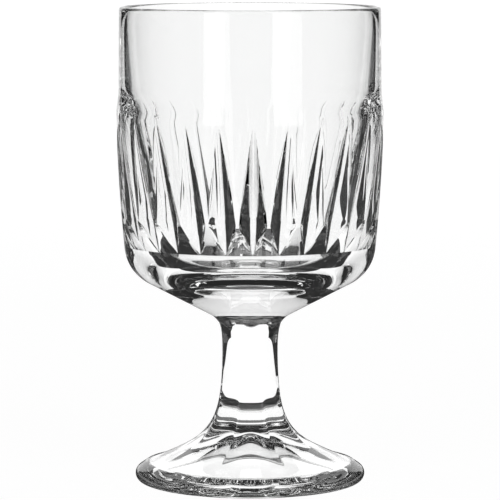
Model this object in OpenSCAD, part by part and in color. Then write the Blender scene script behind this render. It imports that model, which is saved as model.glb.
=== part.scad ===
// Water goblet in clear pressed glass: a heavy bowl with a ribbed inside, a panelled stem and a round foot.
// The foot rests on z = 0, the axis is +Z and all sizes are in millimetres.

/* [Bowl] */
// Height of the whole goblet, from the table to the rim
goblet_h = 151.4; // [145:0.2:160]
// Radius of the outside at the rim
rim_r = 41.5; // [39:0.1:43]
// Thickness of the wall at the rim
rim_wall = 2.1; // [1.6:0.1:2.6]
// Height of the soft step where the thick lower wall starts
step_z = 121.6; // [118:0.2:126]
// How far the lower wall stands out at the step
step_out = 0.75; // [0.3:0.05:1.2]
// Thickness of the wall at the step
throat_wall = 3.9; // [3.7:0.1:4.5]
// How far the hip, where the wall turns under, lies inside the rim
hip_in = 1.6; // [1:0.1:2.4]
// Height of the hip
hip_z = 75.2; // [74:0.2:77]
// Radius of the rounded turn from the wall to the underside
hip_fillet = 13.5; // [10:0.5:15]
// Rise of the conical underside for each millimetre of radius
underside_rise = 0.525; // [0.47:0.005:0.55]

/* [Inside of the bowl] */
// Radius of the inside where the cone turns to the floor
waist_in_r = 31.2; // [30:0.1:32.5]
// Height where the cone turns to the floor
waist_in_z = 84.8; // [83:0.2:87]
// Radius of the floor line, where the ribs end
floor_line_r = 25.5; // [24.8:0.1:26.2]
// Height of the floor line
floor_line_z = 75.7; // [75:0.1:76.5]
// Height of the flat floor
floor_z = 71.1; // [70:0.1:72]
// Number of pointed ribs round the inside
rib_count = 22; // [18:2:24]
// How far the rib tips lie under the step
rib_tip_drop = 6; // [5:0.2:14]
// How far a rib stands into the bowl at its widest place
rib_depth = 3.2; // [2.6:0.1:3.4]
// Turn of the ribs about the axis, in degrees
rib_turn = 1.6; // [0.6:0.2:6]

/* [Stem and foot] */
// Turn of the stem's panels about the axis, in degrees
panel_turn = 2; // [0.5:0.5:22]
// Half the width of the stem across its panels, at its waist
stem_r = 8.6; // [8:0.1:9.2]
// Widening of the stem under the bowl
collar_flare = 1.4; // [0.8:0.1:1.8]
// Height where the stem sits on the foot
foot_joint_z = 20.4; // [18:0.2:24]
// Largest radius of the foot
foot_r = 36.6; // [35.8:0.1:38.4]
// Height of the widest place of the foot
foot_edge_z = 2.6; // [2.4:0.1:3]
// Width of the ring that touches the table
ring_w = 3.2; // [2.4:0.1:5]
// Depth of the hollow under the foot
hollow_h = 13; // [9:0.2:14]

/* [Hidden] */
$fn = 96;
glass = [0.93, 0.95, 0.95, 0.45];

// Steps along the curved outlines.
flare_steps = 14;
wall_steps = 8;
arc_steps = 10;
edge_steps = 6;

// Rim and wall: the half-round lip, the soft step and the slightly barrelled band under it.
lip_r = rim_wall / 2;
rim_in_r = rim_r - rim_wall;
wall_swell = 0.2;
upper_wall_r = rim_r + wall_swell;
step_h = 9;
step_top_z = step_z + step_h / 2;
step_bottom_z = step_z - step_h / 2;
band_r = upper_wall_r + step_out;
band_bulge = 0.37;
hip_r = rim_r - hip_in;

// Hip: the corner of wall and underside, and the centre of the arc that rounds it.
wall_lean = 5.2;
underside_lean = atan(underside_rise);
hip_turn = 90 - wall_lean - underside_lean;
hip_tangent = hip_fillet * tan(hip_turn / 2);
hip_straight = 0.4;
hip_corner_z = hip_z - hip_straight - hip_tangent * cos(wall_lean);
hip_corner_r = hip_r - (hip_z - hip_corner_z) * tan(wall_lean);
hip_arc_top = [hip_corner_r, hip_corner_z] + hip_tangent * [sin(wall_lean), cos(wall_lean)];
hip_centre = hip_arc_top - hip_fillet * [cos(wall_lean), -sin(wall_lean)];

// Neck: the underside rounds down towards the stem, and the joint face cuts this arc.
neck_fillet = 7;
neck_gap = 0.4;
neck_r = stem_r + neck_gap;
neck_corner_z = hip_corner_z - underside_rise * (hip_corner_r - neck_r);
neck_turn = 90 - underside_lean;
neck_centre = [neck_r + neck_fillet, neck_corner_z - neck_fillet * tan(neck_turn / 2)];
joint_drop = 0.3;
bowl_joint_z = neck_corner_z - joint_drop;
neck_end_turn = asin((bowl_joint_z - neck_centre[1]) / neck_fillet);

// Inside: the throat of the cone, and the rounded edge between floor line and flat floor.
throat_r = upper_wall_r - throat_wall;
throat_rise = 0.7;
throat_z = step_z + throat_rise;
floor_fillet = floor_line_z - floor_z;
floor_flat_r = floor_line_r - floor_fillet;

// Ribs: each crest runs straight from its tip on the cone to its knee, just above the waist.
// Under it the rib narrows to a point just above the floor line. Its back and its top end lie in the wall.
rib_tip_z = step_z - rib_tip_drop;
rib_tip_r = throat_r - (throat_r - waist_in_r) * (throat_z - rib_tip_z) / (throat_z - waist_in_z);
rib_knee = 0.8;
rib_knee_z = waist_in_z + rib_knee;
rib_knee_r = waist_in_r - rib_depth;
rib_slope = (rib_tip_r - rib_knee_r) / (rib_tip_z - rib_knee_z);
rib_bury = 1;
rib_top_z = rib_tip_z + rib_bury;
rib_top_r = rib_tip_r + rib_slope * rib_bury;
rib_end_gap = 0.15;
rib_end = [floor_line_r + rib_end_gap, 0, floor_line_z];
rib_share = 0.86;
rib_half_w = rib_share * PI * waist_in_r / rib_count;
rib_roundness = 1.25;
rib_root = 1.15;
rib_steps = 10;

// Flare of stem and foot: an exponential curve, by its size at the table and its reach in height.
foot_flare = 60.9;
foot_flare_reach = 6.78;
collar_reach = 2.9;
panel_count = 8;
slab_w = 4 * foot_r;

// Foot: the rounded rim, the zone where the panels fade to round, and the resting ring.
edge_lift = 0.1;
foot_edge_r = foot_edge_z - edge_lift;
foot_edge_centre = [foot_r - foot_edge_r, foot_edge_z];
edge_low_turn = -70;
edge_high_turn = 50;
flare_low_z = 6.1;
round_z = 7.1;
panel_z = 14.2;
panel_trim = 1.1;
round_trim = 0.98;
ring_inset = 2.4;
ring_out_r = foot_r - ring_inset;
ring_in_r = ring_out_r - ring_w;

// Hollow under the foot: a cone with a rounded tip and slightly drawn-in sides.
hollow_tip = 3;
hollow_draw = 1.3;
hollow_steps = 12;
hollow_reach = norm([ring_in_r, hollow_tip]) - hollow_tip;
hollow_past = 0.5;

// Half the width of stem or foot across opposite panels, at height z.
function panel_half(z) = stem_r
    + foot_flare * exp(-z / foot_flare_reach)
    + collar_flare * exp(-(bowl_joint_z - z) / collar_reach);

// Share of the panels in the shape at height z: 1 on the stem, 0 near the foot's rim.
function panel_share(z) = max(0, min(1, (z - round_z) / (panel_z - round_z)));

// Radius of the round body of the foot, which lies outside the panels' edges at its top.
function round_r(z) = panel_half(z) * (round_trim + (panel_trim - round_trim) * panel_share(z));

// Height of the hollow at radius r.
function hollow_z(r) = hollow_h
    * pow(max(0, 1 - (norm([r, hollow_tip]) - hollow_tip) / hollow_reach), hollow_draw);

// Point i of the hollow's outline, from the resting ring at 0 to the tip at hollow_steps.
function hollow_point(i) =
    let (r = ring_in_r * (1 - i / hollow_steps))
    [r, hollow_z(r)];

// Points of a rib's rounded section, with its crest at radius r and height z.
function rib_section(r, z) = [
    for (i = [0 : rib_steps])
        let (t = rib_root * (2 * i / rib_steps - 1))
        [r + rib_depth * pow(abs(t), rib_roundness), rib_half_w * t, z]
];

// Points of an arc about a centre, between two angles.
function arc(centre, r, from, to, steps) = [
    for (i = [0 : steps])
        let (a = from + (to - from) * i / steps)
        centre + r * [cos(a), sin(a)]
];

// Outside of the wall, from the step down to the hip.
function wall_outline() = concat(
    [for (i = [0 : wall_steps])
        let (t = i / wall_steps)
        [upper_wall_r + step_out * (1 - cos(180 * t)) / 2, step_top_z - step_h * t]],
    [for (i = [1 : wall_steps - 1])
        let (t = 1 - i / wall_steps)
        [hip_r + (band_r - hip_r) * t + 4 * band_bulge * t * (1 - t), hip_z + (step_bottom_z - hip_z) * t]]
);

// Inside of the bowl, from the middle of the floor up to the throat.
function cavity_outline() = concat(
    [[0, floor_z]],
    arc([floor_flat_r, floor_line_z], floor_fillet, -90, 0, edge_steps),
    [[waist_in_r, waist_in_z], [throat_r, throat_z]]
);

// The bowl before its ribs, turned about the axis.
module bowl_body() {
    rotate_extrude()
        polygon(concat(
            arc([rim_r - lip_r, goblet_h - lip_r], lip_r, 180, 0, arc_steps),
            wall_outline(),
            arc(hip_centre, hip_fillet, -wall_lean, -wall_lean - hip_turn, arc_steps),
            arc(neck_centre, neck_fillet, 180 - neck_turn, 180 - neck_end_turn, edge_steps),
            [[0, bowl_joint_z]],
            cavity_outline()
        ));
}

// One rib: its lower end, the section at the knee and the section at the top end, joined by flat faces.
module rib() {
    count = rib_steps + 1;
    polyhedron(
        points = concat([rib_end], rib_section(rib_knee_r, rib_knee_z), rib_section(rib_top_r, rib_top_z)),
        faces = concat(
            [for (i = [1 : rib_steps]) [0, i + 1, i]],
            [for (i = [1 : rib_steps]) [count + i, i, i + 1, count + i + 1]],
            [[0, 1, count], [2 * count, count, 1, count + 1]],
            [[for (i = [1 : count]) count + i]]
        )
    );
}

module bowl() {
    color(glass)
        union() {
            bowl_body();
            for (i = [0 : rib_count - 1])
                rotate([0, 0, rib_turn - 90 + 360 * i / rib_count])
                    rib();
        }
}

// Two opposite panels, curved in height and straight across.
module panel_pair(low, high) {
    side = [for (i = [0 : flare_steps]) let (z = low + (high - low) * i / flare_steps) [panel_half(z), z]];
    other_side = [for (i = [flare_steps : -1 : 0]) [-side[i][0], side[i][1]]];
    rotate([90, 0, 0])
        linear_extrude(height = slab_w, center = true)
            polygon(concat(side, other_side));
}

// The panelled body between two heights.
module panelled(low, high) {
    intersection_for (i = [0 : panel_count / 2 - 1])
        rotate([0, 0, panel_turn + i * 360 / panel_count])
            panel_pair(low, high);
}

module stem() {
    color(glass)
        panelled(foot_joint_z, bowl_joint_z);
}

// The hollow under the foot, carried on a little below the table.
module hollow() {
    low = hollow_point(0) + hollow_past * (hollow_point(0) - hollow_point(1));
    rotate_extrude()
        polygon(concat([[0, low[1]], low], [for (i = [1 : hollow_steps]) hollow_point(i)]));
}

module foot() {
    color(glass)
        difference() {
            intersection() {
                panelled(0, foot_joint_z);
                rotate_extrude()
                    polygon(concat(
                        [[0, 0], [ring_out_r, 0]],
                        arc(foot_edge_centre, foot_edge_r, edge_low_turn, edge_high_turn, arc_steps),
                        [for (i = [0 : flare_steps])
                            let (z = flare_low_z + (foot_joint_z - flare_low_z) * i / flare_steps)
                            [round_r(z), z]],
                        [[0, foot_joint_z]]
                    ));
            }
            hollow();
        }
}

bowl();
stem();
foot();
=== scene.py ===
"""Water goblet in clear pressed glass: bowl, stem and foot as three skins of one piece of glassware."""

import logging
import math
from dataclasses import dataclass, field
from enum import Enum

import bpy
import numpy as np
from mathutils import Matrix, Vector


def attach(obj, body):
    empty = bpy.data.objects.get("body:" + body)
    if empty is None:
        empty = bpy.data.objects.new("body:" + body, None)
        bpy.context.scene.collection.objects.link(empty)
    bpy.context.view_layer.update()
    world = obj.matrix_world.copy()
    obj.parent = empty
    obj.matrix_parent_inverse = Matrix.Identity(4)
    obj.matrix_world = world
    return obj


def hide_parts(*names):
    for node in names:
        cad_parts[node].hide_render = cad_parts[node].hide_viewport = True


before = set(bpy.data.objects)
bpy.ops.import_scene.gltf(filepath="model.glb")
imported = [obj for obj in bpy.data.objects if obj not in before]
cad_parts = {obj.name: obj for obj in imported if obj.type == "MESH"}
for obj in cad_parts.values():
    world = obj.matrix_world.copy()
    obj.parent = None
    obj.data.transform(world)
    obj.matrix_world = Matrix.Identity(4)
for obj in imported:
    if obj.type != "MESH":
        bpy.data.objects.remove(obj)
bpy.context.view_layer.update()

LOG = logging.getLogger("goblet")

# One millimetre, and the distance within which turned points become one, in metres.
MM = 0.001
MERGE = 1e-6
# Direction of the goblet's front about the axis, in degrees.
FRONT = -90.0
# A face with more corners than this closes a joint.
QUAD = 4
# Edges flatter than this are shaded smooth, in degrees.
SMOOTH_ANGLE = 24.0
GLASS_IOR = 1.52

Point = tuple[float, float]
Spot = tuple[float, float, float]
Inputs = dict[int | str, object]


class Skin(Enum):
    """The two surfaces of a glass piece, by the index of their material slot."""

    POLISHED = 0
    FUSED = 1


class Socket:
    """A shader socket that takes part in sums like a number."""

    def __init__(self, tree: "Tree", socket: bpy.types.NodeSocket) -> None:
        """Keeps the socket and its tree.

        Args:
            tree: the tree that the socket belongs to.
            socket: an output of one of its nodes.
        """
        self.tree = tree
        self.socket = socket

    def _maths(self, operation: str, other: float) -> "Socket":
        """Joins this value and a number with a Math node.

        Args:
            operation: the Math node's operation.
            other: the number.

        Returns:
            The result as a socket.
        """
        node = self.tree.node("ShaderNodeMath", {0: self, 1: other})
        node.operation = operation
        return Socket(self.tree, node.outputs[0])

    def __add__(self, other: float) -> "Socket":
        """Sum of this value and a number."""
        return self._maths("ADD", other)

    def __mul__(self, other: float) -> "Socket":
        """Product of this value and a number."""
        return self._maths("MULTIPLY", other)


class Tree:
    """A node tree that is emptied and then filled node by node."""

    def __init__(self, tree: bpy.types.NodeTree) -> None:
        """Empties the tree.

        Args:
            tree: the node tree of a material or of the world.
        """
        self.tree = tree
        tree.nodes.clear()

    def node(self, kind: str, inputs: Inputs) -> bpy.types.Node:
        """Adds one node.

        Args:
            kind: the node's type.
            inputs: input name or index to a socket or a plain value.

        Returns:
            The new node.
        """
        node = self.tree.nodes.new(kind)
        for key, value in inputs.items():
            if isinstance(value, Socket):
                self.tree.links.new(value.socket, node.inputs[key])
            else:
                node.inputs[key].default_value = value
        return node

    def add(self, kind: str, inputs: Inputs | None = None, out: int | str = 0) -> Socket:
        """Adds one node for the sake of one of its outputs.

        Args:
            kind: the node's type.
            inputs: input name or index to a socket or a plain value.
            out: name or index of the output that is wanted.

        Returns:
            The wanted output.
        """
        return Socket(self, self.node(kind, inputs or {}).outputs[out])


@dataclass(frozen=True)
class Finish:
    """A material, whose kind says what its surface is.

    Attributes:
        name: name of the material.
    """

    name: str

    def surface(self, tree: Tree) -> Socket:
        """Adds the nodes of the surface.

        Args:
            tree: the material's empty tree.

        Returns:
            The shader of the surface.
        """
        raise NotImplementedError

    def make(self) -> bpy.types.Material:
        """Makes the material.

        Returns:
            The new material.
        """
        material = bpy.data.materials.new(self.name)
        material.use_nodes = True
        tree = Tree(material.node_tree)
        tree.node("ShaderNodeOutputMaterial", {"Surface": self.surface(tree)})
        return material


@dataclass(frozen=True)
class ClearGlass(Finish):
    """Fire-polished colourless glass with the faint waviness that a mould leaves.

    Attributes:
        name: name of the material.
        ior: refractive index.
        tint: colour of the glass.
        haze: roughness where the haze is thickest.
        haze_scale: fineness of the haze.
        haze_detail: finer layers of the haze.
        wave_scale: fineness of the waves.
        wave_detail: finer layers of the waves.
        wave_bump: strength of the waves.
        wave_height: height of the waves at full strength, in metres.
    """

    name: str = "clear_glass"
    ior: float = GLASS_IOR
    tint: Spot = (0.998, 1.0, 0.999)
    haze: float = 0.004
    haze_scale: float = 90.0
    haze_detail: float = 3.0
    wave_scale: float = 38.0
    wave_detail: float = 1.0
    wave_bump: float = 0.004
    wave_height: float = 0.002

    def surface(self, tree: Tree) -> Socket:
        """Adds the nodes of clear glass.

        Args:
            tree: the material's empty tree.

        Returns:
            The shader of the surface.
        """
        place = tree.add("ShaderNodeTexCoord", out="Object")
        waves = tree.add(
            "ShaderNodeTexNoise",
            {"Vector": place, "Scale": self.wave_scale, "Detail": self.wave_detail},
        )
        smear = tree.add(
            "ShaderNodeTexNoise",
            {"Vector": place, "Scale": self.haze_scale, "Detail": self.haze_detail},
        )
        bump = tree.add(
            "ShaderNodeBump",
            {"Strength": self.wave_bump, "Distance": self.wave_height, "Height": waves},
        )
        return tree.add(
            "ShaderNodeBsdfPrincipled",
            {
                "Base Color": (*self.tint, 1.0),
                "Roughness": smear * self.haze,
                "IOR": self.ior,
                "Transmission Weight": 1.0,
                "Normal": bump,
            },
        )


@dataclass(frozen=True)
class FusedJoint(Finish):
    """The face where two pieces of hot glass have run together: nothing is left to see there.

    Attributes:
        name: name of the material.
        ior: refractive index.
    """

    name: str = "fused_joint"
    ior: float = GLASS_IOR

    def surface(self, tree: Tree) -> Socket:
        """Adds a shader that lets every ray pass straight on.

        Args:
            tree: the material's empty tree.

        Returns:
            The shader of the surface.
        """
        return tree.add("ShaderNodeBsdfPrincipled", {"Alpha": 0.0, "IOR": self.ior})


@dataclass(frozen=True)
class Glow(Finish):
    """A plain glowing cloth or paper.

    Attributes:
        name: name of the material.
        light: strength of its light, where 1 is white.
    """

    light: float = 1.0

    def surface(self, tree: Tree) -> Socket:
        """Adds the light.

        Args:
            tree: the material's empty tree.

        Returns:
            The shader of the surface.
        """
        return tree.add("ShaderNodeEmission", {"Strength": self.light})


@dataclass(frozen=True)
class PaleTable(Finish):
    """A table top that is pale with the goblet's shadow to the camera, and dark in the glass.

    Attributes:
        name: name of the material.
        dark: grey of the top in the glass.
        pale: grey of the top to the camera.
        light: strength of the light that the camera sees on it, where 1 is white.
        glow: share of that light in what the camera sees.
    """

    name: str = "pale_table"
    dark: float = 0.16
    pale: float = 0.9
    light: float = 1.1
    glow: float = 0.88

    def surface(self, tree: Tree) -> Socket:
        """Adds the dark top, the pale one and the choice between them.

        Args:
            tree: the material's empty tree.

        Returns:
            The shader of the surface.
        """
        seen = tree.add("ShaderNodeLightPath", out="Is Camera Ray")
        dark = tree.add("ShaderNodeBsdfDiffuse", {"Color": (self.dark, self.dark, self.dark, 1.0)})
        pale = tree.add("ShaderNodeBsdfDiffuse", {"Color": (self.pale, self.pale, self.pale, 1.0)})
        white = tree.add("ShaderNodeEmission", {"Strength": self.light})
        shaded = tree.add("ShaderNodeMixShader", {0: self.glow, 1: pale, 2: white})
        return tree.add("ShaderNodeMixShader", {0: seen, 1: dark, 2: shaded})


def arc(centre: Point, radius: float, start: float, end: float, steps: int) -> list[Point]:
    """Points of an arc.

    Args:
        centre: centre of the arc.
        radius: its radius.
        start: first angle in degrees.
        end: last angle in degrees.
        steps: number of steps.

    Returns:
        The points, both ends included.
    """
    angles = np.radians(np.linspace(start, end, steps + 1))
    return [(centre[0] + radius * math.cos(a), centre[1] + radius * math.sin(a)) for a in angles]


def stretch(first: Point, last: Point, steps: int) -> list[Point]:
    """Evenly spaced points of a straight line, without its first point.

    Args:
        first: start of the line.
        last: end of the line.
        steps: number of steps.

    Returns:
        The points after the first one.
    """
    return [
        (first[0] + (last[0] - first[0]) * i / steps, first[1] + (last[1] - first[1]) * i / steps)
        for i in range(1, steps + 1)
    ]


def ease(share: np.ndarray) -> np.ndarray:
    """Smooths both ends of a ramp.

    Args:
        share: values from 0 to 1.

    Returns:
        The values with a soft start and a soft end.
    """
    return share * share * (3 - 2 * share)


def pick(piece: bpy.types.Object) -> None:
    """Makes an object the active one and the only selected one.

    Args:
        piece: the object.
    """
    bpy.ops.object.select_all(action="DESELECT")
    bpy.context.view_layer.objects.active = piece
    piece.select_set(True)


@dataclass
class Proportions:
    """Sizes that the pieces share, in millimetres and degrees, by their names in the part's source.

    The number of columns, the points round the axis, is the scene's own. The values without a default are
    worked out from the others.
    """

    goblet_h: float = 151.4
    rim_r: float = 41.5
    rim_wall: float = 2.1
    wall_swell: float = 0.2
    step_z: float = 121.6
    step_h: float = 9.0
    step_out: float = 0.75
    band_bulge: float = 0.37
    throat_wall: float = 3.9
    throat_rise: float = 0.7
    hip_in: float = 1.6
    hip_z: float = 75.2
    hip_fillet: float = 13.5
    hip_straight: float = 0.4
    underside_rise: float = 0.525
    wall_lean: float = 5.2
    neck_fillet: float = 7.0
    neck_gap: float = 0.4
    joint_drop: float = 0.3
    stem_r: float = 8.6
    collar_flare: float = 1.4
    collar_reach: float = 2.9
    foot_flare: float = 60.9
    foot_flare_reach: float = 6.78
    foot_joint_z: float = 20.4
    panel_turn: float = 2.0
    rib_turn: float = 1.6
    rib_count: int = 22
    columns: int = 528
    hip_r: float = field(init=False)
    hip_turn: float = field(init=False)
    hip_centre: Point = field(init=False)
    neck_turn: float = field(init=False)
    neck_end_turn: float = field(init=False)
    neck_centre: Point = field(init=False)
    bowl_joint_z: float = field(init=False)

    def __post_init__(self) -> None:
        """Works out the hip, the neck and the height of the joint under the bowl."""
        lean = math.radians(self.wall_lean)
        under = math.atan(self.underside_rise)
        self.hip_turn = 90.0 - self.wall_lean - math.degrees(under)
        tangent = self.hip_fillet * math.tan(math.radians(self.hip_turn / 2))
        self.hip_r = self.rim_r - self.hip_in
        corner_z = self.hip_z - self.hip_straight - tangent * math.cos(lean)
        corner_r = self.hip_r - (self.hip_z - corner_z) * math.tan(lean)
        top = (corner_r + tangent * math.sin(lean), corner_z + tangent * math.cos(lean))
        self.hip_centre = (
            top[0] - self.hip_fillet * math.cos(lean),
            top[1] + self.hip_fillet * math.sin(lean),
        )
        neck_r = self.stem_r + self.neck_gap
        neck_corner_z = corner_z - self.underside_rise * (corner_r - neck_r)
        self.neck_turn = 90.0 - math.degrees(under)
        self.neck_centre = (
            neck_r + self.neck_fillet,
            neck_corner_z - self.neck_fillet * math.tan(math.radians(self.neck_turn / 2)),
        )
        self.bowl_joint_z = neck_corner_z - self.joint_drop
        sink = (self.bowl_joint_z - self.neck_centre[1]) / self.neck_fillet
        self.neck_end_turn = math.degrees(math.asin(sink))

    @property
    def start_angle(self) -> float:
        """Angle of the first column of points in radians, at the middle of the front rib."""
        return math.radians(self.rib_turn + FRONT)

    @property
    def rib_step(self) -> float:
        """Angle from one rib to the next in radians."""
        return 2 * math.pi / self.rib_count

    def panel_half(self, z: np.ndarray) -> np.ndarray:
        """Half the width of stem and foot across opposite panels.

        Args:
            z: heights in millimetres.

        Returns:
            The half width at each height.
        """
        flare = self.foot_flare * np.exp(-z / self.foot_flare_reach)
        return self.stem_r + flare + self.collar_flare * np.exp(-(self.bowl_joint_z - z) / self.collar_reach)


class GlassPiece:
    """A piece of glass that is turned from a profile and then pressed to its pattern."""

    def __init__(self, node: str, size: Proportions) -> None:
        """Names the piece.

        Args:
            node: name of the CAD node that the piece stands for.
            size: the shared sizes.
        """
        self.node = node
        self.name = f"glass_{node}"
        self.size = size

    def profile(self) -> list[Point]:
        """Half section of the piece, from pole or joint to joint or pole.

        Returns:
            Radius and height of each point in millimetres.
        """
        raise NotImplementedError

    def press(self, radius: np.ndarray, angle: np.ndarray, z: np.ndarray) -> tuple[np.ndarray, np.ndarray]:
        """Moves the turned points to the pattern.

        Args:
            radius: radius of each point in millimetres.
            angle: angle of each point about the axis, in radians.
            z: height of each point in millimetres.

        Returns:
            The new radii and angles.
        """
        raise NotImplementedError

    def turn(self) -> bpy.types.Object:
        """Spins the profile about the axis and closes it at its joints.

        Returns:
            The new object, a closed skin.
        """
        start = self.size.start_angle
        points = [(r * MM * math.cos(start), r * MM * math.sin(start), z * MM) for r, z in self.profile()]
        mesh = bpy.data.meshes.new(self.name)
        mesh.from_pydata(points, [(i, i + 1) for i in range(len(points) - 1)], [])
        piece = bpy.data.objects.new(self.name, mesh)
        bpy.context.scene.collection.objects.link(piece)
        pick(piece)
        screw = piece.modifiers.new("turn", "SCREW")
        screw.axis = "Z"
        screw.angle = 2 * math.pi
        screw.steps = screw.render_steps = self.size.columns
        screw.use_merge_vertices = True
        screw.merge_threshold = MERGE
        bpy.ops.object.modifier_apply(modifier=screw.name)
        bpy.ops.object.mode_set(mode="EDIT")
        bpy.ops.mesh.select_all(action="DESELECT")
        bpy.ops.mesh.select_non_manifold(
            extend=False,
            use_wire=False,
            use_multi_face=False,
            use_non_contiguous=False,
            use_verts=False,
        )
        bpy.ops.mesh.edge_face_add()
        bpy.ops.mesh.select_all(action="SELECT")
        bpy.ops.mesh.normals_make_consistent(inside=False)
        bpy.ops.object.mode_set(mode="OBJECT")
        return piece

    def build(self, finishes: dict[Skin, bpy.types.Material]) -> None:
        """Makes the whole piece, riding on the part's only body.

        Args:
            finishes: material of each kind of surface.
        """
        piece = self.turn()
        mesh = piece.data
        co = np.empty(len(mesh.vertices) * 3)
        mesh.vertices.foreach_get("co", co)
        co = co.reshape(-1, 3) / MM
        radius, angle = self.press(np.hypot(co[:, 0], co[:, 1]), np.arctan2(co[:, 1], co[:, 0]), co[:, 2])
        co[:, 0] = radius * np.cos(angle)
        co[:, 1] = radius * np.sin(angle)
        mesh.vertices.foreach_set("co", (co * MM).ravel())
        mesh.update()
        for skin in Skin:
            mesh.materials.append(finishes[skin])
        for polygon in mesh.polygons:
            skin = Skin.FUSED if len(polygon.vertices) > QUAD else Skin.POLISHED
            polygon.material_index = skin.value
        pick(piece)
        bpy.ops.object.shade_smooth_by_angle(angle=math.radians(SMOOTH_ANGLE))
        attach(piece, "root")
        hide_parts(self.node)
        LOG.info("%s: %d faces", self.name, len(mesh.polygons))


@dataclass(frozen=True)
class Ribs:
    """Inside of the bowl and its pointed ribs, in millimetres.

    Attributes:
        waist_r: radius of the inside where the cone turns to the floor.
        waist_z: height of that place.
        floor_line_r: radius of the floor line, where the ribs end.
        floor_line_z: height of the floor line.
        floor_z: height of the flat floor.
        tip_drop: how far the tips lie under the step.
        depth: how far a rib stands into the bowl at its knee, the widest place.
        knee: height of the knee above the waist.
        end_gap: how far outside the floor line the crests end.
        roundness: power of a rib's section, from 1 for a roof to 2 for a round one.
        share: width of a rib at its knee, as a share of the spacing at the waist.
        crest_round: rounding of the crest.
        kite_share: share of the spacing, from the middle of a rib, whose points lie on the rib.
        fade_reach: height above the tips in which the points go back to even spacing.
        half_least: smallest half width that the points of a rib are drawn to, as a share of the spacing.
        half_most: largest one.
    """

    waist_r: float = 31.2
    waist_z: float = 84.8
    floor_line_r: float = 25.5
    floor_line_z: float = 75.7
    floor_z: float = 71.1
    tip_drop: float = 6.0
    depth: float = 3.2
    knee: float = 0.8
    end_gap: float = 0.15
    roundness: float = 1.25
    share: float = 0.86
    crest_round: float = 0.2
    kite_share: float = 0.36
    fade_reach: float = 9.0
    half_least: float = 0.012
    half_most: float = 0.49


@dataclass(frozen=True)
class BowlSteps:
    """Numbers of steps along the bowl's half section, and of the rounds that find a rib's face and edge."""

    floor: int = 3
    floor_edge: int = 12
    rib_end: int = 20
    rib: int = 44
    throat: int = 2
    upper_inside: int = 10
    lip: int = 12
    upper_outside: int = 4
    step: int = 12
    band: int = 16
    hip: int = 18
    underside: int = 6
    neck: int = 8
    face_rounds: int = 12
    edge_rounds: int = 24


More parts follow.
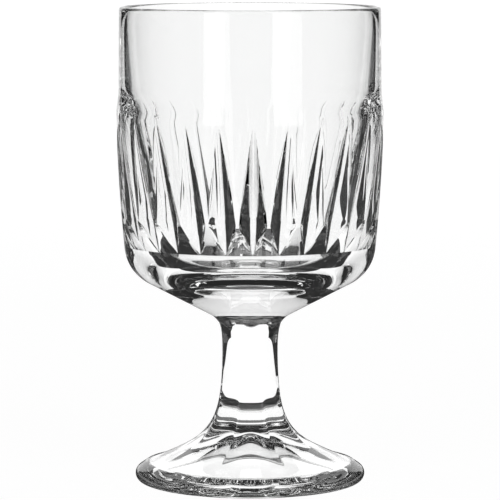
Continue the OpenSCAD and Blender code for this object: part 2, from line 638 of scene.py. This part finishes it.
class Bowl(GlassPiece):
    """The bowl, smooth outside, with ribs pressed on its inside."""

    # Tolerances in millimetres: off the inside, off floor and lip, off the floor's level, and off the axis.
    skin_gap: float = 0.05
    rim_gap: float = 0.01
    level_gap: float = 1e-4
    pole_r: float = 0.5
    # Decimals that tell levels of points apart, and the least share of its size at the knee that a rib has.
    level_digits: int = 5
    least_share: float = 1e-3

    def __init__(self, size: Proportions, ribs: Ribs, steps: BowlSteps) -> None:
        """Works out the inside.

        Args:
            size: the shared sizes.
            ribs: sizes of inside and ribs.
            steps: numbers of steps.
        """
        super().__init__("bowl", size)
        self.ribs = ribs
        self.steps = steps
        self.lip_r = size.rim_wall / 2
        self.lip_z = size.goblet_h - self.lip_r
        self.throat_z = size.step_z + size.throat_rise
        self.upper_r = size.rim_r + size.wall_swell
        self.throat_r = self.upper_r - size.throat_wall
        self.fillet = ribs.floor_line_z - ribs.floor_z
        self.flat_r = ribs.floor_line_r - self.fillet
        slope = (self.throat_r - ribs.waist_r) / (self.throat_z - ribs.waist_z)
        self.tip_z = size.step_z - ribs.tip_drop
        self.tip_r = self.throat_r - slope * (self.throat_z - self.tip_z)
        self.knee_z = ribs.waist_z + ribs.knee
        self.crest = (
            (ribs.floor_line_z, self.knee_z, self.tip_z),
            (ribs.floor_line_r + ribs.end_gap, ribs.waist_r - ribs.depth, self.tip_r),
        )
        self.half_w = ribs.share * math.pi * ribs.waist_r / size.rib_count

    def inside(self) -> list[Point]:
        """Half section of the inside between the ribs.

        Returns:
            The points from the middle of the floor to the lip.
        """
        ribs, size, steps = self.ribs, self.size, self.steps
        points = [(0.0, ribs.floor_z)]
        points += stretch(points[-1], (self.flat_r, ribs.floor_z), steps.floor)
        points += arc((self.flat_r, ribs.floor_line_z), self.fillet, -90, 0, steps.floor_edge)[1:]
        points += stretch(points[-1], (ribs.waist_r, ribs.waist_z), steps.rib_end)
        points += stretch(points[-1], (self.tip_r, self.tip_z), steps.rib)
        points += stretch(points[-1], (self.throat_r, self.throat_z), steps.throat)
        points += stretch(points[-1], (size.rim_r - size.rim_wall, self.lip_z), steps.upper_inside)
        return points

    def outside(self) -> list[Point]:
        """Half section of the outside.

        Returns:
            The points from the lip to the joint on the stem.
        """
        size, steps = self.size, self.steps
        points = arc((size.rim_r - self.lip_r, self.lip_z), self.lip_r, 180, 0, steps.lip)[1:]
        top_z, low_z = size.step_z + size.step_h / 2, size.step_z - size.step_h / 2
        points += stretch(points[-1], (self.upper_r, top_z), steps.upper_outside)
        for i in range(1, steps.step + 1):
            t = i / steps.step
            out = size.step_out * (1 - math.cos(math.pi * t)) / 2
            points.append((self.upper_r + out, top_z - size.step_h * t))
        band_r = self.upper_r + size.step_out
        for i in range(1, steps.band):
            t = 1 - i / steps.band
            points.append((
                size.hip_r + (band_r - size.hip_r) * t + 4 * size.band_bulge * t * (1 - t),
                size.hip_z + (low_z - size.hip_z) * t,
            ))
        hip_end = -size.wall_lean - size.hip_turn
        points += arc(size.hip_centre, size.hip_fillet, -size.wall_lean, hip_end, steps.hip)
        turns = (180 - size.neck_turn, 180 - size.neck_end_turn)
        neck = arc(size.neck_centre, size.neck_fillet, *turns, steps.neck)
        points += stretch(points[-1], neck[0], steps.underside)
        points += neck[1:]
        return points

    def profile(self) -> list[Point]:
        """Half section of the bowl.

        Returns:
            The points from the middle of the floor over the lip to the joint.
        """
        return self.inside() + self.outside()

    def land(self, z: np.ndarray) -> np.ndarray:
        """Radius of the inside between the ribs.

        Args:
            z: heights in millimetres.

        Returns:
            The radius at each height.
        """
        inside = np.array(self.inside())
        return np.interp(z, inside[:, 1], inside[:, 0])

    def rib_face(self, phi: np.ndarray, z: np.ndarray) -> np.ndarray:
        """Radius of a rib's face.

        Args:
            phi: angles from the rib's middle, in radians.
            z: heights in millimetres.

        Returns:
            The radius where each direction meets the rib.
        """
        ribs = self.ribs
        crest = np.interp(z, *self.crest)
        rise = (z - ribs.floor_line_z) / (self.knee_z - ribs.floor_line_z)
        share = np.clip(rise, self.least_share, 1)
        radius = crest.copy()
        for _ in range(self.steps.face_rounds):
            side = np.hypot(radius * np.sin(phi), ribs.crest_round) - ribs.crest_round
            across = side / (self.half_w * share)
            radius = (crest + ribs.depth * share * across**ribs.roundness) / np.cos(phi)
        return np.where(z > ribs.floor_line_z, radius, ribs.waist_r)

    def kite_half(self, z: np.ndarray) -> np.ndarray:
        """Half the angle that a rib takes up.

        Args:
            z: heights in millimetres.

        Returns:
            The half angle at each height, as a share of the spacing.
        """
        land = self.land(z)
        low, high = np.zeros_like(z), np.full_like(z, 0.5)
        for _ in range(self.steps.edge_rounds):
            middle = (low + high) / 2
            on_rib = self.rib_face(middle * self.size.rib_step, z) < land
            low = np.where(on_rib, middle, low)
            high = np.where(on_rib, high, middle)
        return low

    def column_half(self, z: np.ndarray, levels: np.ndarray) -> np.ndarray:
        """Half the angle that a rib's points take up: the rib's own, and even spacing above and below it.

        Args:
            z: heights in millimetres.
            levels: the heights of the rings of points on the inside, above the flat floor.

        Returns:
            The half angle at each height, as a share of the spacing.
        """
        ribs = self.ribs
        edges = self.kite_half(levels)
        low_z = levels[np.argmax(edges > 0)]
        fade_up = np.clip((z - self.tip_z) / ribs.fade_reach, 0, 1)
        fade_down = np.clip((low_z - z) / max(low_z - ribs.floor_z, self.rim_gap), 0, 1)
        fade = ease(np.maximum(fade_up, fade_down))
        half = np.maximum(np.interp(z, levels, edges), fade * ribs.kite_share)
        return np.clip(half, ribs.half_least, ribs.half_most)

    def gather(self, share: np.ndarray, half: np.ndarray) -> np.ndarray:
        """Draws the points of a rib together, or apart, to the angle that they take up.

        Args:
            share: place of each point from the rib's middle, as a share of the spacing.
            half: half the angle of the rib's points at the height of each point, as a share too.

        Returns:
            The new places.
        """
        kite = self.ribs.kite_share
        size = np.abs(share)
        moved = np.where(
            size <= kite,
            half * size / kite,
            half + (0.5 - half) * (size - kite) / (0.5 - kite),
        )
        return moved * np.sign(share)

    def press(self, radius: np.ndarray, angle: np.ndarray, z: np.ndarray) -> tuple[np.ndarray, np.ndarray]:
        """Raises the ribs, with columns of points that follow the edges of each rib.

        Args:
            radius: radius of each point in millimetres.
            angle: angle of each point about the axis, in radians.
            z: height of each point in millimetres.

        Returns:
            The new radii and angles.
        """
        floor_z, start, step = self.ribs.floor_z, self.size.start_angle, self.size.rib_step
        inner = radius < self.land(z) + self.skin_gap
        inner &= (z > floor_z - self.rim_gap) & (z < self.lip_z - self.rim_gap)
        share = (angle - start) / step
        middle = np.round(share)
        share = share - middle
        levels = np.unique(np.round(z[inner], self.level_digits))
        levels = levels[levels > floor_z + self.level_gap]
        moved = self.gather(share, self.column_half(z, levels))
        moved = np.where(inner & (radius > self.pole_r), moved, share)
        face = self.rib_face(moved * step, z)
        on_rib = inner & (z < self.tip_z) & (radius > self.flat_r)
        pressed = np.where(on_rib, np.minimum(radius, face), radius)
        return pressed, start + (middle + moved) * step


@dataclass(frozen=True)
class Panels:
    """The flat panels of stem and foot, in millimetres.

    Attributes:
        count: number of panels.
        edge_soft: softness of the edges between panels, at the waist of the stem.
        edge_cut: how far out an edge reaches, as a share of a sharp one.
        round_z: height up to which the foot is round.
        fade_up: height above that in which the panels come in.
        joint_band: height of the round band under the bowl.
        fade_down: height under that in which the panels come in.
        skin_gap: tolerance within which a point belongs to the panelled skin.
    """

    count: int = 8
    edge_soft: float = 0.4
    edge_cut: float = 0.975
    round_z: float = 6.2
    fade_up: float = 4.0
    joint_band: float = 0.2
    fade_down: float = 1.0
    skin_gap: float = 0.02


class Panelled(GlassPiece):
    """A piece with the flat panels of stem and foot."""

    def __init__(self, node: str, size: Proportions, panels: Panels) -> None:
        """Names the piece and keeps its panels.

        Args:
            node: name of the CAD node that the piece stands for.
            size: the shared sizes.
            panels: sizes of the panels.
        """
        super().__init__(node, size)
        self.panels = panels

    def flare(self, top_z: float, low_z: float, rows: int) -> list[Point]:
        """Half section of the panelled skin between two heights.

        Args:
            top_z: upper height in millimetres.
            low_z: lower height.
            rows: number of points.

        Returns:
            The points from top to bottom.
        """
        heights = np.linspace(top_z, low_z, rows)
        return list(zip(self.size.panel_half(heights).tolist(), heights.tolist()))

    def panel_share(self, z: np.ndarray) -> np.ndarray:
        """How much of the panels shows.

        Args:
            z: heights in millimetres.

        Returns:
            Their share at each height, from 0 for a round body to 1.
        """
        panels = self.panels
        up = np.clip((z - panels.round_z) / panels.fade_up, 0, 1)
        down = np.clip((self.size.bowl_joint_z - panels.joint_band - z) / panels.fade_down, 0, 1)
        return ease(np.minimum(up, down))

    def press(self, radius: np.ndarray, angle: np.ndarray, z: np.ndarray) -> tuple[np.ndarray, np.ndarray]:
        """Presses the round body to its panels, with softened edges between them.

        Args:
            radius: radius of each point in millimetres.
            angle: angle of each point about the axis, in radians.
            z: height of each point in millimetres.

        Returns:
            The new radii and angles.
        """
        panels = self.panels
        step = 2 * math.pi / panels.count
        share = (angle - math.radians(self.size.panel_turn)) / step
        phi = (share - np.round(share)) * step
        half = self.size.panel_half(z)
        soft = panels.edge_soft * half / self.size.stem_r
        flat = half / np.cos(phi)
        limit = half / math.cos(step / 2) * panels.edge_cut
        rounded = (flat + limit - np.hypot(flat - limit, soft)) / 2
        rounded += half - (half + limit - np.hypot(half - limit, soft)) / 2
        scale = 1 + (rounded / half - 1) * self.panel_share(z)
        skin = np.abs(radius - half) < panels.skin_gap
        return np.where(skin, radius * scale, radius), angle


class Stem(Panelled):
    """The stem between the two joints."""

    rows: int = 45

    def __init__(self, size: Proportions, panels: Panels) -> None:
        """Names the piece.

        Args:
            size: the shared sizes.
            panels: sizes of the panels.
        """
        super().__init__("stem", size, panels)

    def profile(self) -> list[Point]:
        """Half section of the stem.

        Returns:
            The points from the upper joint to the lower one.
        """
        return self.flare(self.size.bowl_joint_z, self.size.foot_joint_z, self.rows)


@dataclass(frozen=True)
class FootSizes:
    """Sizes of the foot's rim and of the hollow under it, in millimetres and degrees.

    Attributes:
        rim_r: largest radius of the foot.
        edge_z: height of its widest place.
        edge_r: radius of the rounded rim.
        edge_high_turn: angle where the rounded rim starts.
        edge_low_turn: angle where it ends.
        edge_steps: steps along it.
        flare_low_z: height where the flare ends.
        flare_rows: points along the flare.
        join_steps: steps from the flare to the rim.
        ring_out: outer radius of the resting ring.
        ring_in: inner radius, where the hollow starts.
        ring_edge: width of the row of faces along the ring's inner edge.
        hollow_h: height of the hollow.
        hollow_tip: rounding of its tip.
        hollow_draw: power of its sides, 1 for a straight cone.
        hollow_steps: steps along it.
    """

    rim_r: float = 36.6
    edge_z: float = 2.6
    edge_r: float = 2.5
    edge_high_turn: float = 50.0
    edge_low_turn: float = -80.0
    edge_steps: int = 14
    flare_low_z: float = 6.1
    flare_rows: int = 40
    join_steps: int = 3
    ring_out: float = 34.2
    ring_in: float = 31.0
    ring_edge: float = 0.4
    hollow_h: float = 13.0
    hollow_tip: float = 3.0
    hollow_draw: float = 1.3
    hollow_steps: int = 24


class Foot(Panelled):
    """The round foot with its hollow underside."""

    def __init__(self, size: Proportions, panels: Panels, foot: FootSizes) -> None:
        """Names the piece and keeps the foot's own sizes.

        Args:
            size: the shared sizes.
            panels: sizes of the panels.
            foot: sizes of rim and hollow.
        """
        super().__init__("foot", size, panels)
        self.foot = foot

    def profile(self) -> list[Point]:
        """Half section of the foot.

        Returns:
            The points from the joint over the rim to the middle of the hollow.
        """
        foot = self.foot
        points = self.flare(self.size.foot_joint_z, foot.flare_low_z, foot.flare_rows)
        turns = (foot.edge_high_turn, foot.edge_low_turn)
        rim = arc((foot.rim_r - foot.edge_r, foot.edge_z), foot.edge_r, *turns, foot.edge_steps)
        points += stretch(points[-1], rim[0], foot.join_steps) + rim[1:]
        points += [(foot.ring_out, 0.0), (foot.ring_in + foot.ring_edge, 0.0)]
        radii = np.linspace(foot.ring_in, 0.0, foot.hollow_steps + 1).tolist()
        points += [(r, self.hollow_z(r)) for r in radii]
        return points

    def hollow_z(self, r: float) -> float:
        """Height of the hollow, a cone with a rounded tip and slightly drawn-in sides.

        Args:
            r: radius in millimetres.

        Returns:
            The height there.
        """
        foot = self.foot
        reach = math.hypot(foot.ring_in, foot.hollow_tip) - foot.hollow_tip
        share = 1 - (math.hypot(r, foot.hollow_tip) - foot.hollow_tip) / reach
        return foot.hollow_h * max(0.0, share) ** foot.hollow_draw


@dataclass(frozen=True)
class Shot:
    """The camera.

    Attributes:
        at: its place in metres.
        to: the point that it looks at.
        lens: focal length in millimetres.
        sensor: width of the sensor in millimetres.
        clip_start: distance in metres from which on it sees things.
    """

    at: Spot = (0.0, -1.077, 0.186)
    to: Spot = (0.0, 0.0, 0.074)
    lens: float = 245.0
    sensor: float = 36.0
    clip_start: float = 0.01

    def make(self) -> bpy.types.Object:
        """Sets up the camera.

        Returns:
            The camera.
        """
        data = bpy.data.cameras.new("camera")
        data.lens = self.lens
        data.sensor_width = self.sensor
        data.clip_start = self.clip_start
        camera = bpy.data.objects.new("camera", data)
        bpy.context.scene.collection.objects.link(camera)
        camera.location = self.at
        look = Vector(self.to) - Vector(self.at)
        camera.rotation_euler = look.to_track_quat("-Z", "Y").to_euler()
        bpy.context.scene.camera = camera
        return camera


@dataclass(frozen=True)
class Screen:
    """A glowing screen that stands around the goblet.

    Attributes:
        name: name of the screen.
        bearings: first and last bearing in degrees, 0 being behind the goblet.
        far: distance from the goblet in metres.
        high: height of the upper edge.
        light: strength of its light, where 1 is white.
        low: height of the lower edge, a little under the table.
        columns: points along each edge.
    """

    name: str
    bearings: Point
    far: float
    high: float
    light: float
    low: float = -0.002
    columns: int = 9

    def edge(self) -> list[Point]:
        """Outline of the screen from above.

        Returns:
            The points from the first bearing to the last.
        """
        turns = np.radians(np.linspace(*self.bearings, self.columns))
        return [(self.far * math.sin(t), self.far * math.cos(t)) for t in turns]


@dataclass(frozen=True)
class Sweep:
    """What shows through the glass only: white paper on a grey card under the foot, and a strip behind.

    Attributes:
        start: distance in metres from the axis to the near edge of the strip.
        near: half the width of that edge.
        light: strength of the light of strip and paper, where 1 is white.
        z: height of the strip.
        paper_r: radius of the paper.
        paper_z: height of the paper.
        card_r: radius of the card.
        card_z: height of the card.
        card_light: strength of the card's light.
        disc_step: angle between points round paper and card, in degrees.
    """

    start: float = 0.06
    near: float = 0.08
    light: float = 1.1
    z: float = -2e-5
    paper_r: float = 0.028
    paper_z: float = -3e-5
    card_r: float = 0.038
    card_z: float = -4e-5
    card_light: float = 0.2
    disc_step: int = 6

    def disc(self, radius: float) -> list[Point]:
        """Outline of a disc about the axis.

        Args:
            radius: its radius in metres.

        Returns:
            The points round the disc.
        """
        return [
            (radius * math.cos(t), radius * math.sin(t))
            for t in np.radians(np.arange(0, 360, self.disc_step))
        ]

    def strip(self, backdrop: Screen) -> list[Point]:
        """Outline of the strip from the foot to the backdrop.

        Args:
            backdrop: the screen that it runs to.

        Returns:
            The points round the strip.
        """
        return [(-self.near, self.start), (self.near, self.start), *reversed(backdrop.edge())]


@dataclass(frozen=True)
class Studio:
    """Bright backdrop between dark sides, two soft strips in front, a table, a room and the camera.

    Attributes:
        shot: the camera.
        backdrop: the screen behind the goblet.
        strips: the screens in front.
        sweep: what lies on the table and shows through the glass only.
        top: finish of the table.
        table_r: radius of the table in metres.
        table_z: height of its top.
        table_sides: number of its sides.
        dim: light of the room where the camera does not look straight at it, where 1 is white.
        glass_bounces: how often light may bounce, and pass through glass.
        other_bounces: how often it may be mirrored, and pass through joints.
    """

    shot: Shot = Shot()
    backdrop: Screen = Screen(name="backdrop", bearings=(-27.0, 27.0), far=1.5, high=1.3, light=1.1)
    strips: tuple[Screen, ...] = (
        Screen(name="strip_right", bearings=(135.0, 160.0), far=1.3, high=2.0, light=1.5),
        Screen(name="strip_left", bearings=(-158.0, -140.0), far=1.3, high=2.0, light=1.5),
    )
    sweep: Sweep = Sweep()
    top: PaleTable = PaleTable()
    table_r: float = 2.5
    table_z: float = -5e-5
    table_sides: int = 96
    dim: float = 0.02
    glass_bounces: int = 32
    other_bounces: int = 16

    def turntable(self, camera: bpy.types.Object) -> bpy.types.Object:
        """Makes the stand that keeps the set facing the camera, as when the goblet turns on a turntable.

        Args:
            camera: the camera.

        Returns:
            The stand that carries screens and sheets.
        """
        stand = bpy.data.objects.new("turning_set", None)
        bpy.context.scene.collection.objects.link(stand)
        track = stand.constraints.new("LOCKED_TRACK")
        track.target = camera
        track.track_axis = "TRACK_NEGATIVE_Y"
        track.lock_axis = "LOCK_Z"
        return stand

    def place(self, finish: Glow, mesh: bpy.types.Mesh, stand: bpy.types.Object) -> bpy.types.Object:
        """Puts one glowing screen or sheet on the stand.

        Args:
            finish: its material, which also names it.
            mesh: its shape.
            stand: the stand that carries it.

        Returns:
            The screen or sheet.
        """
        mesh.materials.append(finish.make())
        sheet = bpy.data.objects.new(finish.name, mesh)
        bpy.context.scene.collection.objects.link(sheet)
        sheet.parent = stand
        return sheet

    def raise_screen(self, screen: Screen, stand: bpy.types.Object) -> None:
        """Stands a screen around the goblet.

        Args:
            screen: the screen.
            stand: the stand that carries it.
        """
        edge = screen.edge()
        count = len(edge)
        points = [(x, y, z) for z in (screen.low, screen.high) for x, y in edge]
        faces = [(i, i + 1, count + i + 1, count + i) for i in range(count - 1)]
        mesh = bpy.data.meshes.new(screen.name)
        mesh.from_pydata(points, [], faces)
        self.place(Glow(screen.name, screen.light), mesh, stand)

    def lay_sweep(self, stand: bpy.types.Object) -> None:
        """Lays strip, paper and card where only rays through the glass meet them.

        Args:
            stand: the stand that carries them.
        """
        sweep = self.sweep
        sheets = (
            (Glow("sweep", sweep.light), sweep.strip(self.backdrop), sweep.z),
            (Glow("paper", sweep.light), sweep.disc(sweep.paper_r), sweep.paper_z),
            (Glow("card", sweep.card_light), sweep.disc(sweep.card_r), sweep.card_z),
        )
        for finish, outline, z in sheets:
            mesh = bpy.data.meshes.new(finish.name)
            mesh.from_pydata([(x, y, z) for x, y in outline], [], [tuple(range(len(outline)))])
            sheet = self.place(finish, mesh, stand)
            sheet.visible_camera = sheet.visible_diffuse = False
            sheet.visible_glossy = sheet.visible_shadow = False

    def table(self) -> None:
        """Lays the round table top."""
        bpy.ops.object.select_all(action="DESELECT")
        bpy.ops.mesh.primitive_circle_add(
            vertices=self.table_sides,
            radius=self.table_r,
            fill_type="NGON",
            location=(0, 0, self.table_z),
        )
        table = bpy.context.object
        table.name = "table_top"
        table.data.materials.append(self.top.make())

    def world(self) -> None:
        """Makes the room: white where the camera looks past the set, and dark to everything else."""
        world = bpy.data.worlds.new("room")
        bpy.context.scene.world = world
        world.use_nodes = True
        tree = Tree(world.node_tree)
        seen = tree.add("ShaderNodeLightPath", out="Is Camera Ray")
        light = seen * (1 - self.dim) + self.dim
        room = tree.add("ShaderNodeBackground", {"Color": (1, 1, 1, 1), "Strength": light})
        tree.node("ShaderNodeOutputWorld", {"Surface": room})

    def build(self) -> None:
        """Sets up the whole studio."""
        scene = bpy.context.scene
        scene.view_settings.view_transform = "Standard"
        scene.cycles.max_bounces = scene.cycles.transmission_bounces = self.glass_bounces
        scene.cycles.glossy_bounces = scene.cycles.transparent_max_bounces = self.other_bounces
        stand = self.turntable(self.shot.make())
        for screen in (self.backdrop, *self.strips):
            self.raise_screen(screen, stand)
        self.lay_sweep(stand)
        self.table()
        self.world()


def main() -> None:
    """Builds the goblet's three pieces and the studio."""
    logging.basicConfig(level=logging.INFO)
    size, panels = Proportions(), Panels()
    finishes = {Skin.POLISHED: ClearGlass().make(), Skin.FUSED: FusedJoint().make()}
    pieces = (Bowl(size, Ribs(), BowlSteps()), Stem(size, panels), Foot(size, panels, FootSizes()))
    for piece in pieces:
        piece.build(finishes)
    Studio().build()


if __name__ == "__main__":
    main()
